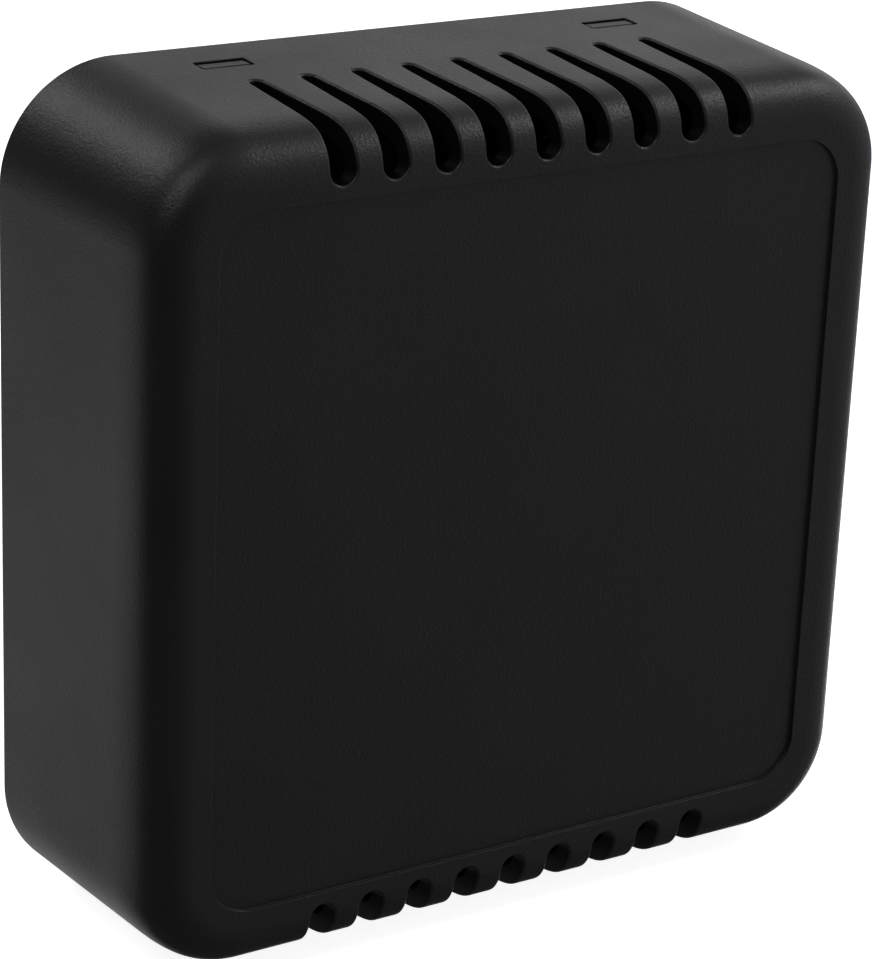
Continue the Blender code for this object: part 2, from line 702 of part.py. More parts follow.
def build_jack(materials):
    mouth = jack_mouth()
    rear = mouth - JACK_LENGTH
    half = JACK_WIDTH / 2
    mesh = bmesh.new()
    add_box(mesh, (rear, jack_face(JACK_HEIGHT), JACK_Z - half), (mouth, jack_face(0), JACK_Z + half))
    housing = make_node("network_jack", mesh, materials["plastic"], (mouth, jack_face(0), JACK_Z))
    wide = JACK_CAVITY_WIDTH / 2
    latch = JACK_LATCH_WIDTH / 2
    floor = JACK_FLOOR
    ceiling = floor + JACK_CAVITY_HEIGHT
    top = ceiling + JACK_LATCH_HEIGHT
    section = [
        (jack_face(floor), -wide),
        (jack_face(ceiling), -wide),
        (jack_face(ceiling), -latch),
        (jack_face(top), -latch),
        (jack_face(top), latch),
        (jack_face(ceiling), latch),
        (jack_face(ceiling), wide),
        (jack_face(floor), wide),
    ]
    cavity = bmesh.new()
    add_prism(cavity, section, "x", mouth - JACK_CAVITY_DEPTH, mouth + MM, (0, 0, JACK_Z))
    combine(housing, "jack_cavity", cavity, "DIFFERENCE", materials["plastic"])

    # The contact block lies on the cavity's floor, with springs that lean up towards the mouth.
    mesh = bmesh.new()
    start = mouth - JACK_CAVITY_DEPTH + GAP
    block = 3.0 * MM
    block_top = floor + GAP + 1.4 * MM
    block_half = wide - GAP
    low = (start, jack_face(block_top), JACK_Z - block_half)
    add_box(mesh, low, (start + block, jack_face(floor + GAP), JACK_Z + block_half))
    contacts = make_node("jack_contacts", mesh, materials["gold"], (start, jack_face(floor), JACK_Z))
    springs = bmesh.new()
    for index in range(JACK_CONTACTS):
        z = JACK_Z + (index - (JACK_CONTACTS - 1) / 2) * JACK_CONTACT_PITCH
        thin = 0.18 * MM
        path = [
            (start + block - MM, floor + GAP + 0.5 * MM),
            (start + block - MM, floor + GAP + 0.9 * MM),
            (start + block + 5.2 * MM, floor + GAP + 2.4 * MM),
            (start + block + 5.2 * MM, floor + GAP + 2.0 * MM),
        ]
        rings = [[Vector((x, jack_face(level), z + edge)) for x, level in path] for edge in (-thin, thin)]
        add_loft(springs, rings)
    combine(contacts, "contact_springs", springs, "UNION", materials["gold"])

    rings = []
    for x, grow in ((rear, GAP + JACK_SKIN), (mouth, GAP + JACK_SKIN), (mouth, GAP), (rear, GAP)):
        corners = [
            (jack_face(-grow), -half - grow),
            (jack_face(JACK_HEIGHT + grow), -half - grow),
            (jack_face(JACK_HEIGHT + grow), half + grow),
            (jack_face(-grow), half + grow),
        ]
        rings.append(place(corners, "x", x, (0, 0, JACK_Z)))
    mesh = bmesh.new()
    add_loft(mesh, rings, ring_closed=True)
    make_node("jack_shield", mesh, materials["tin"], (mouth, jack_face(0), JACK_Z))


def inlet_y():
    return board_front() - GAP - INLET_HEIGHT / 2


def build_inlet(materials):
    mouth = jack_mouth()
    rear = mouth - INLET_LENGTH
    centre = (0, inlet_y(), INLET_Z)
    rings = []
    for x, inset in ((rear, 0.0), (mouth, 0.0), (mouth, INLET_WALL), (rear, INLET_WALL)):
        flat = INLET_HEIGHT / 2 - inset
        outline = rounded_rectangle(flat, INLET_WIDTH / 2 - inset, flat * 0.98, ROUND_STEPS)
        rings.append(place(outline, "x", x, centre))
    mesh = bmesh.new()
    add_loft(mesh, rings, ring_closed=True)
    shell = make_node("power_inlet_shell", mesh, materials["steel"], (mouth, inlet_y(), INLET_Z))
    smooth_round(shell)

    block = (INLET_HEIGHT / 2 - INLET_WALL - GAP, INLET_WIDTH / 2 - INLET_WALL - 2.5 * GAP)
    blade = (TONGUE_HEIGHT / 2, TONGUE_WIDTH / 2)
    step_x = rear + 2.2 * MM
    rings = []
    for x, (flat, wide) in ((rear, block), (step_x, block), (step_x, blade), (mouth - 0.8 * MM, blade)):
        rings.append(place([(-flat, -wide), (flat, -wide), (flat, wide), (-flat, wide)], "x", x, centre))
    mesh = bmesh.new()
    add_loft(mesh, rings)
    make_node("power_inlet_tongue", mesh, materials["plastic"], (rear, inlet_y(), INLET_Z))


def build_controls(cover, materials):
    """Both switches press along -X. The pair button and the light pipe belong to the cover."""
    edge = BOARD_X[1]
    for name, z in (("pair", PAIR_Z), ("reset", RESET_Z)):
        mesh = bmesh.new()
        front = board_front() - GAP
        low = (edge - SWITCH_LENGTH, front - SWITCH_HEIGHT, z - SWITCH_WIDTH / 2)
        add_box(mesh, low, (edge, front, z + SWITCH_WIDTH / 2))
        body = make_node(f"{name}_switch", mesh, materials["plastic"], (edge, front, z))
        socket = bmesh.new()
        depth = PAIR_TRAVEL + 2 * GAP
        add_cylinder(socket, (0, switch_y(), z), "x", PLUNGER_RADIUS + GAP, edge - depth, edge + MM, 16)
        combine(body, f"{name}_switch_bore", socket, "DIFFERENCE", materials["plastic"])
        mesh = bmesh.new()
        low_x = edge - GAP
        add_cylinder(
            mesh, (0, switch_y(), z), "x", PLUNGER_RADIUS, low_x, low_x + PLUNGER_LENGTH, 16
        )
        plunger = make_node(
            f"{name}_plunger", mesh, materials["white"], (low_x, switch_y(), z)
        )
        smooth_round(plunger)

    tip = edge - GAP + PLUNGER_LENGTH + GAP
    wall_outside = side_face(switch_y())
    wall_inside = wall_outside - COVER_WALL / math.cos(COVER_DRAFT)
    flange = PAIR_CAP_RADIUS + 0.8 * MM
    crown = wall_outside + PAIR_PROUD
    stations = [
        (PLUNGER_RADIUS, tip),
        (PLUNGER_RADIUS, wall_inside - GAP - 0.7 * MM),
        (flange, wall_inside - GAP - 0.7 * MM),
        (flange, wall_inside - GAP),
        (PAIR_CAP_RADIUS, wall_inside - GAP),
        (PAIR_CAP_RADIUS, crown - 0.3 * MM),
        (PAIR_CAP_RADIUS - 0.3 * MM, crown),
    ]
    mesh = bmesh.new()
    centre = (0, switch_y(), PAIR_Z)
    add_loft(mesh, [place(circle(r, 24), "x", x, centre) for r, x in stations])
    origin = (wall_outside, switch_y(), PAIR_Z)
    smooth_round(make_node("pair_button", mesh, materials["case"], origin, parent=cover))

    stations = [
        (LIGHT_PIPE_RADIUS, BOARD_X[1] - MM),
        (LIGHT_PIPE_RADIUS, wall_inside - GAP - 0.8 * MM),
        (LIGHT_PIPE_RADIUS + 0.7 * MM, wall_inside - GAP - 0.8 * MM),
        (LIGHT_PIPE_RADIUS + 0.7 * MM, wall_inside - GAP),
        (LIGHT_PIPE_RADIUS, wall_inside - GAP),
        (LIGHT_PIPE_RADIUS, wall_outside - 0.15 * MM),
        (LIGHT_PIPE_RADIUS * 0.7, wall_outside),
    ]
    mesh = bmesh.new()
    centre = (0, switch_y(), LIGHT_Z)
    add_loft(mesh, [place(circle(r, 20), "x", x, centre) for r, x in stations])
    origin = (wall_inside, switch_y(), LIGHT_Z)
    smooth_round(make_node("light_pipe", mesh, materials["clear"], origin, parent=cover))


def smooth_route(points, spacing):
    """Points along a Catmull-Rom curve through the given points, a fixed spacing apart."""
    padded = [2 * points[0] - points[1], *points, 2 * points[-1] - points[-2]]
    route = []
    for before, start, stop, after in zip(padded, padded[1:], padded[2:], padded[3:]):
        steps = max(2, round((stop - start).length / spacing))
        for step in range(steps):
            t = step / steps
            route.append(
                0.5
                * (
                    2 * start
                    + (stop - before) * t
                    + (2 * before - 5 * start + 4 * stop - after) * t**2
                    + (3 * start - before - 3 * stop + after) * t**3
                )
            )
    return [*route, points[-1]]


def build_antennas(materials):
    """Two printed antennas stand in clips on the plate, each with a thin coaxial lead to the board."""
    for name, (low, high) in antenna_spans().items():
        mesh = bmesh.new()
        add_box(mesh, low, high)
        make_node(f"antenna_{name}", mesh, materials["board"], low)

    seat = board_front() - GAP
    plug_y = seat - COAX_SOCKET_HEIGHT - GAP
    lead_y = plug_y - COAX_PLUG_HEIGHT / 2
    left_face = ANTENNA_LEFT_X + ANTENNA_THICKNESS / 2 + LEAD_RADIUS + GAP
    top_face = ANTENNA_TOP_Z - ANTENNA_THICKNESS / 2 - LEAD_RADIUS - GAP
    sockets = {"left": (-29.5 * MM, 3.0 * MM), "top": (9.0 * MM, 10.0 * MM)}
    clear = COAX_PLUG_RADIUS + GAP
    routes = {
        "left": [
            Vector((left_face, -9.0 * MM, -14.0 * MM)),
            Vector((left_face, -9.6 * MM, -10.5 * MM)),
            Vector((-33.6 * MM, -10.0 * MM, -7.0 * MM)),
            Vector((-31.4 * MM, -9.6 * MM, -3.5 * MM)),
            Vector((-29.7 * MM, lead_y - 0.2 * MM, -0.6 * MM)),
            Vector((sockets["left"][0], lead_y, sockets["left"][1] - clear)),
        ],
        "top": [
            Vector((-6.0 * MM, -12.0 * MM, top_face)),
            Vector((-2.5 * MM, -11.6 * MM, top_face)),
            Vector((2.0 * MM, -10.8 * MM, 18.6 * MM)),
            Vector((6.2 * MM, -9.6 * MM, 16.4 * MM)),
            Vector((8.7 * MM, lead_y - 0.2 * MM, 13.6 * MM)),
            Vector((sockets["top"][0], lead_y, sockets["top"][1] + clear)),
        ],
    }
    for name, (x, z) in sockets.items():
        board_piece(
            f"coax_socket_{name}", x, z, COAX_SOCKET_SIDE, COAX_SOCKET_SIDE,
            COAX_SOCKET_HEIGHT, materials["gold"], bevel=0.0,
        )
        mesh = bmesh.new()
        add_cylinder(
            mesh, (x, 0, z), "y", COAX_PLUG_RADIUS, plug_y - COAX_PLUG_HEIGHT, plug_y, 20
        )
        smooth_round(make_node(f"coax_plug_{name}", mesh, materials["steel"], (x, plug_y, z)))

        curve = bpy.data.curves.new(f"antenna_lead_{name}", "CURVE")
        curve.dimensions = "3D"
        curve.bevel_depth = LEAD_RADIUS
        curve.bevel_resolution = 2
        curve.use_fill_caps = True
        route = smooth_route(routes[name], 1.4 * MM)
        spline = curve.splines.new("POLY")
        spline.points.add(len(route) - 1)
        for point, target in zip(spline.points, route):
            point.co = (*target, 1.0)
        curve.materials.append(materials["lead"])
        lead = bpy.data.objects.new(f"antenna_lead_{name}", curve)
        bpy.context.scene.collection.objects.link(lead)


def build():
    clear_scene()
    materials = make_materials()
    cover = build_cover(materials)
    build_plate(materials)
    build_hooks(materials)
    build_board(materials)
    build_processor(materials)
    build_small_parts(materials)
    build_radio(materials)
    build_jack(materials)
    build_inlet(materials)
    build_controls(cover, materials)
    build_antennas(materials)


build()
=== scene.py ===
"""Looks for the mesh Wi-Fi node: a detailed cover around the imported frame, materials, studio and camera."""

import json
import math

import bmesh
import bpy
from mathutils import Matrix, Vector
from mathutils.bvhtree import BVHTree


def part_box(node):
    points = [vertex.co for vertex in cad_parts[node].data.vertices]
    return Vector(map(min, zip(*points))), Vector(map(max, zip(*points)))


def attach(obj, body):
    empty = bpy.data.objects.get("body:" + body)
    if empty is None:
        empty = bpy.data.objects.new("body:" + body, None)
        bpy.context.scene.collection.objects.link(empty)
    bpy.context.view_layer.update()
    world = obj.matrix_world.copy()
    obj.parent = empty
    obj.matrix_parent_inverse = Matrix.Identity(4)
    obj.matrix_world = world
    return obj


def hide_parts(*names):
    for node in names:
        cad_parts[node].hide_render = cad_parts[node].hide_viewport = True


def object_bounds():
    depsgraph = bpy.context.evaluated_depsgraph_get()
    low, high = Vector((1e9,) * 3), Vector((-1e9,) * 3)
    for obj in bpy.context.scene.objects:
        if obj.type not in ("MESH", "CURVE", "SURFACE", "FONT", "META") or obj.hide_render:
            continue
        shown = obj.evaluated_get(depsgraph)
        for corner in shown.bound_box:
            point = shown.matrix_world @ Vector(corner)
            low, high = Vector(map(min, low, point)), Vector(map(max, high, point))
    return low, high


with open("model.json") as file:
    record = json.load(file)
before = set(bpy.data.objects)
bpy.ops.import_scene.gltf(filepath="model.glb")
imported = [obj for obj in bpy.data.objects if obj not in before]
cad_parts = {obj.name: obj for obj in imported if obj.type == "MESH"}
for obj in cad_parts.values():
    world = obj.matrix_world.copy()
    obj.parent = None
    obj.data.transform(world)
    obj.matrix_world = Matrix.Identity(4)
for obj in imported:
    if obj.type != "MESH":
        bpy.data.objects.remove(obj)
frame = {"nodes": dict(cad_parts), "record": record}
CAD_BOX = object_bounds()

MM = 0.001
RECORD = frame["record"]

# Cover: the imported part's own sizes
SIDE = 85.0 * MM
DEPTH = 28.6 * MM
DRAFT = math.radians(3.0)
CORNER_RADIUS = 11.8 * MM
WALL = 2.0 * MM
PANEL_SIDE = 69.2 * MM
PANEL_RADIUS = 4.6 * MM
PANEL_DEPTH = 0.4 * MM
VENT_COUNT = 9
VENT_PITCH = 5.52 * MM
VENT_FRONT_WIDTH = 2.7 * MM
VENT_BACK_WIDTH = 1.3 * MM
VENT_REACH = 17.0 * MM
VENT_DROP = 6.5 * MM
HOOK_X = 22.1 * MM
HOOK_SETBACK = 5.95 * MM
WINDOW_WIDTH = 5.5 * MM
WINDOW_LENGTH = 2.4 * MM

# Cover: rounds that only this scene has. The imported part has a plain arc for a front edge, and sharp
# lips and window corners
EDGE_RADIUS = 3.96 * MM  # the tightest radius of the front edge, which eases into the faces beside it
EDGE_LEAD_IN = 10.0  # how many times its radius is added where it leaves the side wall
EDGE_LEAD_TURN = math.radians(5.0)
EDGE_LEAD_OUT = 1.5  # the same where it meets the front
EDGE_OUT_TURN = math.radians(6.0)
PANEL_FILLET = 0.07 * MM
VENT_LIP = 0.3 * MM
WINDOW_LIP = 0.1 * MM
WINDOW_CORNER = 0.25 * MM

# Cutters
CUTTER_OVERRUN = 1.0 * MM  # how far a cutter starts or ends clear of the face that it cuts
VENT_OVERRUN = 2.0 * MM
VENT_STRAIGHT = 8.0 * MM  # length of a vent cutter's first stretch
VENT_END_STEP = 8  # degrees between the sections of a vent's round end
WINDOW_DROP = 6.0 * MM
PORT_DROP = 3.9 * MM
JACK_MARGIN = 1.0 * MM
JACK_CORNER = 0.3 * MM
INLET_GAP = 0.3 * MM
BUTTON_HOLE_RADIUS = 2.3 * MM
RESET_HOLE_RADIUS = 0.9 * MM
LIGHT_HOLE_RADIUS = 1.3 * MM

# Finding and rounding the lips
WELD_DISTANCE = 0.03 * MM
SKIN_TOLERANCE = 0.02 * MM
SKIN_FACING = 0.7  # least cosine between a face and the skin under it
REAR_MARGIN = 0.5 * MM
PANEL_MARGIN = 0.3 * MM
LIP_SEGMENTS = 4
SHARP_ANGLE = math.radians(40.0)

# Camera
CAMERA_AZIMUTH = -0.5743
CAMERA_ELEVATION = 0.3565
CAMERA_ROLL = 0.0402
CAMERA_DISTANCE = 333.16 * MM
CAMERA_LENS = 124.46
AIM = Vector((0.0, -11.594, 0.0)) * MM
AIM_RIGHT = -0.153 * MM
AIM_UP = -1.275 * MM

# How finely curves are divided
CORNER_STEPS = 28
EDGE_STEPS = 24
EDGE_SAMPLES = 3000
ARC_STEPS = 20
SMALL_CORNER_STEPS = 4
INLET_STEPS = 12
HOLE_STEPS = 36

# Studio
FLOOR_REACH = 3.0
FLOOR_GAP = 0.05 * MM
BACKDROP_RADIUS = 2.8
BRIGHT_SIDE = (0.81, -0.3, 0.5)
SENSOR_WIDTH = 36.0


# ---------------------------------------------------------------- materials


def new_material(name):
    material = bpy.data.materials.new(name)
    material.use_nodes = True
    tree = material.node_tree
    return material, tree, tree.nodes["Principled BSDF"]


def add_node(tree, kind, **inputs):
    node = tree.nodes.new(kind)
    for name, value in inputs.items():
        node.inputs[name.replace("_", " ").title()].default_value = value
    return node


def position(tree):
    return add_node(tree, "ShaderNodeTexCoord").outputs["Object"]


def noise(tree, where, scale, detail=2.0, roughness=0.5):
    node = tree.nodes.new("ShaderNodeTexNoise")
    node.inputs["Scale"].default_value = scale
    node.inputs["Detail"].default_value = detail
    node.inputs["Roughness"].default_value = roughness
    tree.links.new(where, node.inputs["Vector"])
    return node.outputs["Fac"]


def spread(tree, value, low, high, start=0.3, stop=0.7):
    node = tree.nodes.new("ShaderNodeMapRange")
    node.inputs["From Min"].default_value = start
    node.inputs["From Max"].default_value = stop
    node.inputs["To Min"].default_value = low
    node.inputs["To Max"].default_value = high
    tree.links.new(value, node.inputs["Value"])
    return node.outputs["Result"]


def tint(tree, value, dark, light):
    node = tree.nodes.new("ShaderNodeMix")
    node.data_type = "RGBA"
    tree.links.new(value, node.inputs["Factor"])
    node.inputs["A"].default_value = (*dark, 1.0)
    node.inputs["B"].default_value = (*light, 1.0)
    return node.outputs["Result"]


def bump(tree, height, distance, strength=1.0, base=None):
    node = tree.nodes.new("ShaderNodeBump")
    node.inputs["Strength"].default_value = strength
    node.inputs["Distance"].default_value = distance
    tree.links.new(height, node.inputs["Height"])
    if base is not None:
        tree.links.new(base, node.inputs["Normal"])
    return node.outputs["Normal"]


def textured_plastic(name, dark, light, rough=(0.42, 0.5), grain=3600.0, depth=0.012 * MM, specular=0.5):
    """Moulded plastic with a spark-eroded skin: crisp grains, a coarser wander, and a little colour drift."""
    material, tree, shader = new_material(name)
    where = position(tree)
    fine = noise(tree, where, grain, 2.0, 0.6)
    coarse = noise(tree, where, grain * 0.45, 1.0)
    patch = noise(tree, where, 70.0, 3.0)
    tree.links.new(tint(tree, spread(tree, patch, 0.0, 1.0), dark, light), shader.inputs["Base Color"])
    tree.links.new(spread(tree, patch, *rough), shader.inputs["Roughness"])
    shader.inputs["Specular IOR Level"].default_value = specular
    normal = bump(tree, coarse, depth * 0.7)
    normal = bump(tree, fine, depth, base=normal)
    tree.links.new(normal, shader.inputs["Normal"])
    return material


def metal(name, dark, light, rough=(0.25, 0.4), stretch=(1.0, 1.0, 1.0), scale=900.0, depth=0.002 * MM):
    material, tree, shader = new_material(name)
    mapping = tree.nodes.new("ShaderNodeMapping")
    mapping.inputs["Scale"].default_value = stretch
    tree.links.new(position(tree), mapping.inputs["Vector"])
    grain = noise(tree, mapping.outputs["Vector"], scale, 3.0)
    patch = noise(tree, position(tree), 160.0, 3.0)
    tree.links.new(tint(tree, spread(tree, patch, 0.0, 1.0), dark, light), shader.inputs["Base Color"])
    tree.links.new(spread(tree, grain, *rough), shader.inputs["Roughness"])
    shader.inputs["Metallic"].default_value = 1.0
    tree.links.new(bump(tree, grain, depth), shader.inputs["Normal"])
    return material


def board_material():
    """Green solder mask over copper: traces show as a slightly lighter, raised network, with tinned pads."""
    material, tree, shader = new_material("board_green")
    where = position(tree)
    cells = tree.nodes.new("ShaderNodeTexBrick")
    cells.offset = 0.37
    cells.squash = 0.6
    cells.squash_frequency = 3
    cells.inputs["Scale"].default_value = 210.0
    cells.inputs["Mortar Size"].default_value = 0.045
    cells.inputs["Mortar Smooth"].default_value = 0.1
    cells.inputs["Brick Width"].default_value = 1.7
    cells.inputs["Row Height"].default_value = 0.33
    turn = tree.nodes.new("ShaderNodeMapping")
    turn.inputs["Rotation"].default_value = (math.pi / 2, 0.0, 0.0)
    tree.links.new(where, turn.inputs["Vector"])
    tree.links.new(turn.outputs["Vector"], cells.inputs["Vector"])
    trace = cells.outputs["Fac"]
    patch = noise(tree, where, 60.0, 2.0)
    mask = tint(tree, spread(tree, patch, 0.0, 1.0), (0.008, 0.05, 0.022), (0.012, 0.066, 0.03))
    mix = tree.nodes.new("ShaderNodeMix")
    mix.data_type = "RGBA"
    tree.links.new(trace, mix.inputs["Factor"])
    tree.links.new(mask, mix.inputs["A"])
    mix.inputs["B"].default_value = (0.02, 0.12, 0.05, 1.0)
    tree.links.new(mix.outputs["Result"], shader.inputs["Base Color"])
    shader.inputs["Roughness"].default_value = 0.32
    tree.links.new(bump(tree, trace, 0.02 * MM), shader.inputs["Normal"])
    return material


def clear_material():
    material, tree, shader = new_material("clear_acrylic")
    where = position(tree)
    haze = noise(tree, where, 900.0, 2.0)
    shader.inputs["Base Color"].default_value = (0.9, 0.92, 0.93, 1.0)
    shader.inputs["Transmission Weight"].default_value = 0.85
    shader.inputs["IOR"].default_value = 1.49
    tree.links.new(spread(tree, haze, 0.12, 0.25), shader.inputs["Roughness"])
    return material


def make_materials():
    return {
        "case_black": textured_plastic(
            "case_black", (0.0038, 0.0038, 0.0043), (0.0048, 0.0048, 0.0054), (0.39, 0.45), 6400.0, 0.044 * MM
        ),
        # Openings and inner skin: the darker colour and lower specular level are painted shade; the finer,
        # shallower grain is a smoother finish.
        "case_inside_painted_shade": textured_plastic(
            "case_inside_painted_shade",
            (0.0018, 0.0018, 0.002),
            (0.0026, 0.0026, 0.003),
            (0.5, 0.6),
            3000.0,
            0.004 * MM,
            0.1,
        ),
        "board_green": board_material(),
        "chip_black": textured_plastic(
            "chip_black", (0.012, 0.012, 0.013), (0.02, 0.02, 0.021), (0.45, 0.6), 5200.0, 0.004 * MM
        ),
        "bright_steel": metal("bright_steel", (0.55, 0.55, 0.54), (0.66, 0.66, 0.64)),
        "tinned_steel": metal(
            "tinned_steel", (0.58, 0.58, 0.57), (0.68, 0.68, 0.66), (0.42, 0.58), (1.0, 1.0, 0.5)
        ),
        "aluminium": metal("aluminium", (0.6, 0.6, 0.61), (0.72, 0.72, 0.73), (0.3, 0.45), (1.0, 1.0, 0.08)),
        "gold_plate": metal("gold_plate", (0.72, 0.5, 0.18), (0.82, 0.6, 0.24), (0.2, 0.32)),
        "thermal_pad": textured_plastic(
            "thermal_pad", (0.3, 0.35, 0.43), (0.36, 0.41, 0.5), (0.75, 0.85), 2500.0, 0.02 * MM
        ),
        "jack_black": textured_plastic(
            "jack_black", (0.01, 0.01, 0.011), (0.016, 0.016, 0.017), (0.35, 0.45), 5000.0, 0.003 * MM
        ),
        "ferrite_grey": textured_plastic(
            "ferrite_grey", (0.05, 0.05, 0.054), (0.075, 0.075, 0.08), (0.55, 0.7), 3000.0, 0.02 * MM
        ),
        "clear_acrylic": clear_material(),
        "led_white": textured_plastic(
            "led_white", (0.66, 0.66, 0.6), (0.78, 0.78, 0.72), (0.35, 0.45), 4000.0, 0.003 * MM
        ),
        "lead_black": textured_plastic(
            "lead_black", (0.012, 0.012, 0.012), (0.02, 0.02, 0.02), (0.3, 0.4), 2500.0, 0.003 * MM
        ),
        "label_silver": textured_plastic(
            "label_silver", (0.36, 0.36, 0.37), (0.42, 0.42, 0.43), (0.4, 0.5), 1500.0, 0.002 * MM
        ),
    }


def dress_frame(materials):
    """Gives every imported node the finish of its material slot."""
    for part in RECORD["subparts"]:
        node = frame["nodes"][part["node"]]
        for slot in node.material_slots:
            slot.material = materials[part["material_slot"]]


# ---------------------------------------------------------------- geometry


def rounded_rectangle(half_a, half_b, radius, steps):
    points = []
    for index, (sign_a, sign_b) in enumerate(((1, 1), (-1, 1), (-1, -1), (1, -1))):
        for step in range(steps + 1):
            angle = math.radians(90 * (index + step / steps))
            a = sign_a * (half_a - radius) + radius * math.cos(angle)
            b = sign_b * (half_b - radius) + radius * math.sin(angle)
            points.append((a, b))
    return points


def ring(half, radius, y):
    return [Vector((a, y, b)) for a, b in rounded_rectangle(half, half, radius, CORNER_STEPS)]


def loft(mesh, rings):
    rows = [[mesh.verts.new(point) for point in row] for row in rings]
    faces = []
    for low, high in zip(rows, rows[1:]):
        for index in range(len(low)):
            after = (index + 1) % len(low)
            faces.append(mesh.faces.new((low[index], low[after], high[after], high[index])))
    faces.append(mesh.faces.new(rows[0]))
    faces.append(mesh.faces.new(rows[-1]))
    bmesh.ops.recalc_face_normals(mesh, faces=faces)


def edge_curve():
    """(inset, depth, turn) along the front edge, evenly spaced, from the drafted wall to the flat front."""
    step = (math.pi / 2 - DRAFT) / EDGE_SAMPLES
    inset, depth, length = 0.0, 0.0, 0.0
    path = []
    for index in range(EDGE_SAMPLES + 1):
        turn = DRAFT + step * index
        path.append((inset, depth, turn, length))
        lead_in = EDGE_LEAD_IN * math.exp(-(turn - DRAFT) / EDGE_LEAD_TURN)
        lead_out = EDGE_LEAD_OUT * math.exp(-(math.pi / 2 - turn) / EDGE_OUT_TURN)
        radius = EDGE_RADIUS * (1 + lead_in + lead_out)
        inset += radius * math.sin(turn) * step
        depth += radius * math.cos(turn) * step
        length += radius * step
    start = DEPTH - path[-1][1]
    shift = start * math.tan(DRAFT)
    picked = []
    for index in range(EDGE_STEPS + 1):
        wanted = path[-1][3] * index / EDGE_STEPS
        inset, depth, turn, _ = min(path, key=lambda point: abs(point[3] - wanted))
        picked.append((inset + shift, depth + start, turn))
    return picked


def cover_rings(thickness):
    profile = [(thickness / math.cos(DRAFT), 0.0)]
    for inset, depth, turn in edge_curve():
        profile.append((inset + thickness * math.cos(turn), depth - thickness * math.sin(turn)))
    return [ring(SIDE / 2 - inset, CORNER_RADIUS - inset, -depth) for inset, depth in profile]


def outer_skin():
    """The cover's outer surface with no openings, to measure distances to."""
    skin = bmesh.new()
    loft(skin, [*cover_rings(0.0), ring(PANEL_SIDE / 2, PANEL_RADIUS, -DEPTH)])
    tree = BVHTree.FromBMesh(skin)
    skin.free()
    return tree


def panel_rings():
    """The step down into the front panel, with a small round at its edge and at its foot."""
    front = -DEPTH
    turns = [math.radians(degrees) for degrees in (0, 30, 60, 90)]
    steps = []
    for turn in turns:
        sink = PANEL_DEPTH - PANEL_FILLET * (1 - math.cos(turn))
        steps.append((-PANEL_FILLET * (1 - math.sin(turn)), sink))
    for turn in turns:
        steps.append((PANEL_FILLET * (1 - math.cos(turn)), PANEL_FILLET * (1 - math.sin(turn))))
    return [ring(PANEL_SIDE / 2 + grow, PANEL_RADIUS + grow, front + sink) for grow, sink in steps]


def vent_cutter(mesh, x, side):
    """One tapering slot from the front over the top (side 1) or bottom (side -1) edge, with a round end."""
    low = SIDE / 2 - VENT_DROP
    high = SIDE / 2 + VENT_OVERRUN
    taper = (VENT_FRONT_WIDTH - VENT_BACK_WIDTH) / VENT_REACH
    back = -DEPTH + VENT_REACH
    end = VENT_BACK_WIDTH / 2
    stations = [(-DEPTH - CUTTER_OVERRUN, 1.0), (-DEPTH + VENT_STRAIGHT, 1.0)]
    for angle in range(0, 90, VENT_END_STEP):
        turn = math.radians(angle)
        stations.append((back - end + end * math.sin(turn), math.cos(turn)))
    rings = []
    for y, share in stations:
        half = (VENT_FRONT_WIDTH - taper * (y + DEPTH)) / 2
        width = half * share
        arc = [math.pi + math.pi * step / ARC_STEPS for step in range(ARC_STEPS + 1)]
        points = [(width * math.cos(turn), low + half + half * math.sin(turn)) for turn in arc]
        points += [(width, high), (-width, high)]
        rings.append([Vector((x + a, y, side * b)) for a, b in points])
    loft(mesh, rings)


def window_cutter(mesh, x, side):
    low = SIDE / 2 - WINDOW_DROP
    high = SIDE / 2 + CUTTER_OVERRUN
    corners = rounded_rectangle(WINDOW_WIDTH / 2, WINDOW_LENGTH / 2, WINDOW_CORNER, SMALL_CORNER_STEPS)
    outline = [(x + a, -HOOK_SETBACK + b) for a, b in corners]
    loft(mesh, [[Vector((a, b, side * z)) for a, b in outline] for z in (low, high)])


def middle_and_half(box):
    """A box's centre and half size along Y and Z, as the side openings need them."""
    low, high = box
    middle = ((low[1] + high[1]) / 2, (low[2] + high[2]) / 2)
    half = ((high[1] - low[1]) / 2, (high[2] - low[2]) / 2)
    return middle, half


def cut_side_wall(mesh, outline):
    """Adds a cutter of this (y, z) outline through the wall on the right."""
    ends = (SIDE / 2 - PORT_DROP, SIDE / 2 + CUTTER_OVERRUN)
    loft(mesh, [[Vector((x, y, z)) for y, z in outline] for x in ends])


def jack_opening(mesh):
    (y, z), (half_y, half_z) = middle_and_half(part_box("network_jack"))
    corners = rounded_rectangle(half_y - JACK_MARGIN, half_z - JACK_MARGIN, JACK_CORNER, SMALL_CORNER_STEPS)
    cut_side_wall(mesh, [(y + a, z + b) for a, b in corners])


def inlet_opening(mesh):
    """A slot with round ends around the inlet's shell."""
    (y, z), (half_y, half_z) = middle_and_half(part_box("power_inlet_shell"))
    half_y += INLET_GAP
    half_z += INLET_GAP
    outline = []
    for sign in (1, -1):
        for step in range(INLET_STEPS + 1):
            angle = math.radians(180 * step / INLET_STEPS) + (0.0 if sign > 0 else math.pi)
            end = z + sign * (half_z - half_y)
            outline.append((y + half_y * math.cos(angle), end + half_y * math.sin(angle)))
    cut_side_wall(mesh, outline)


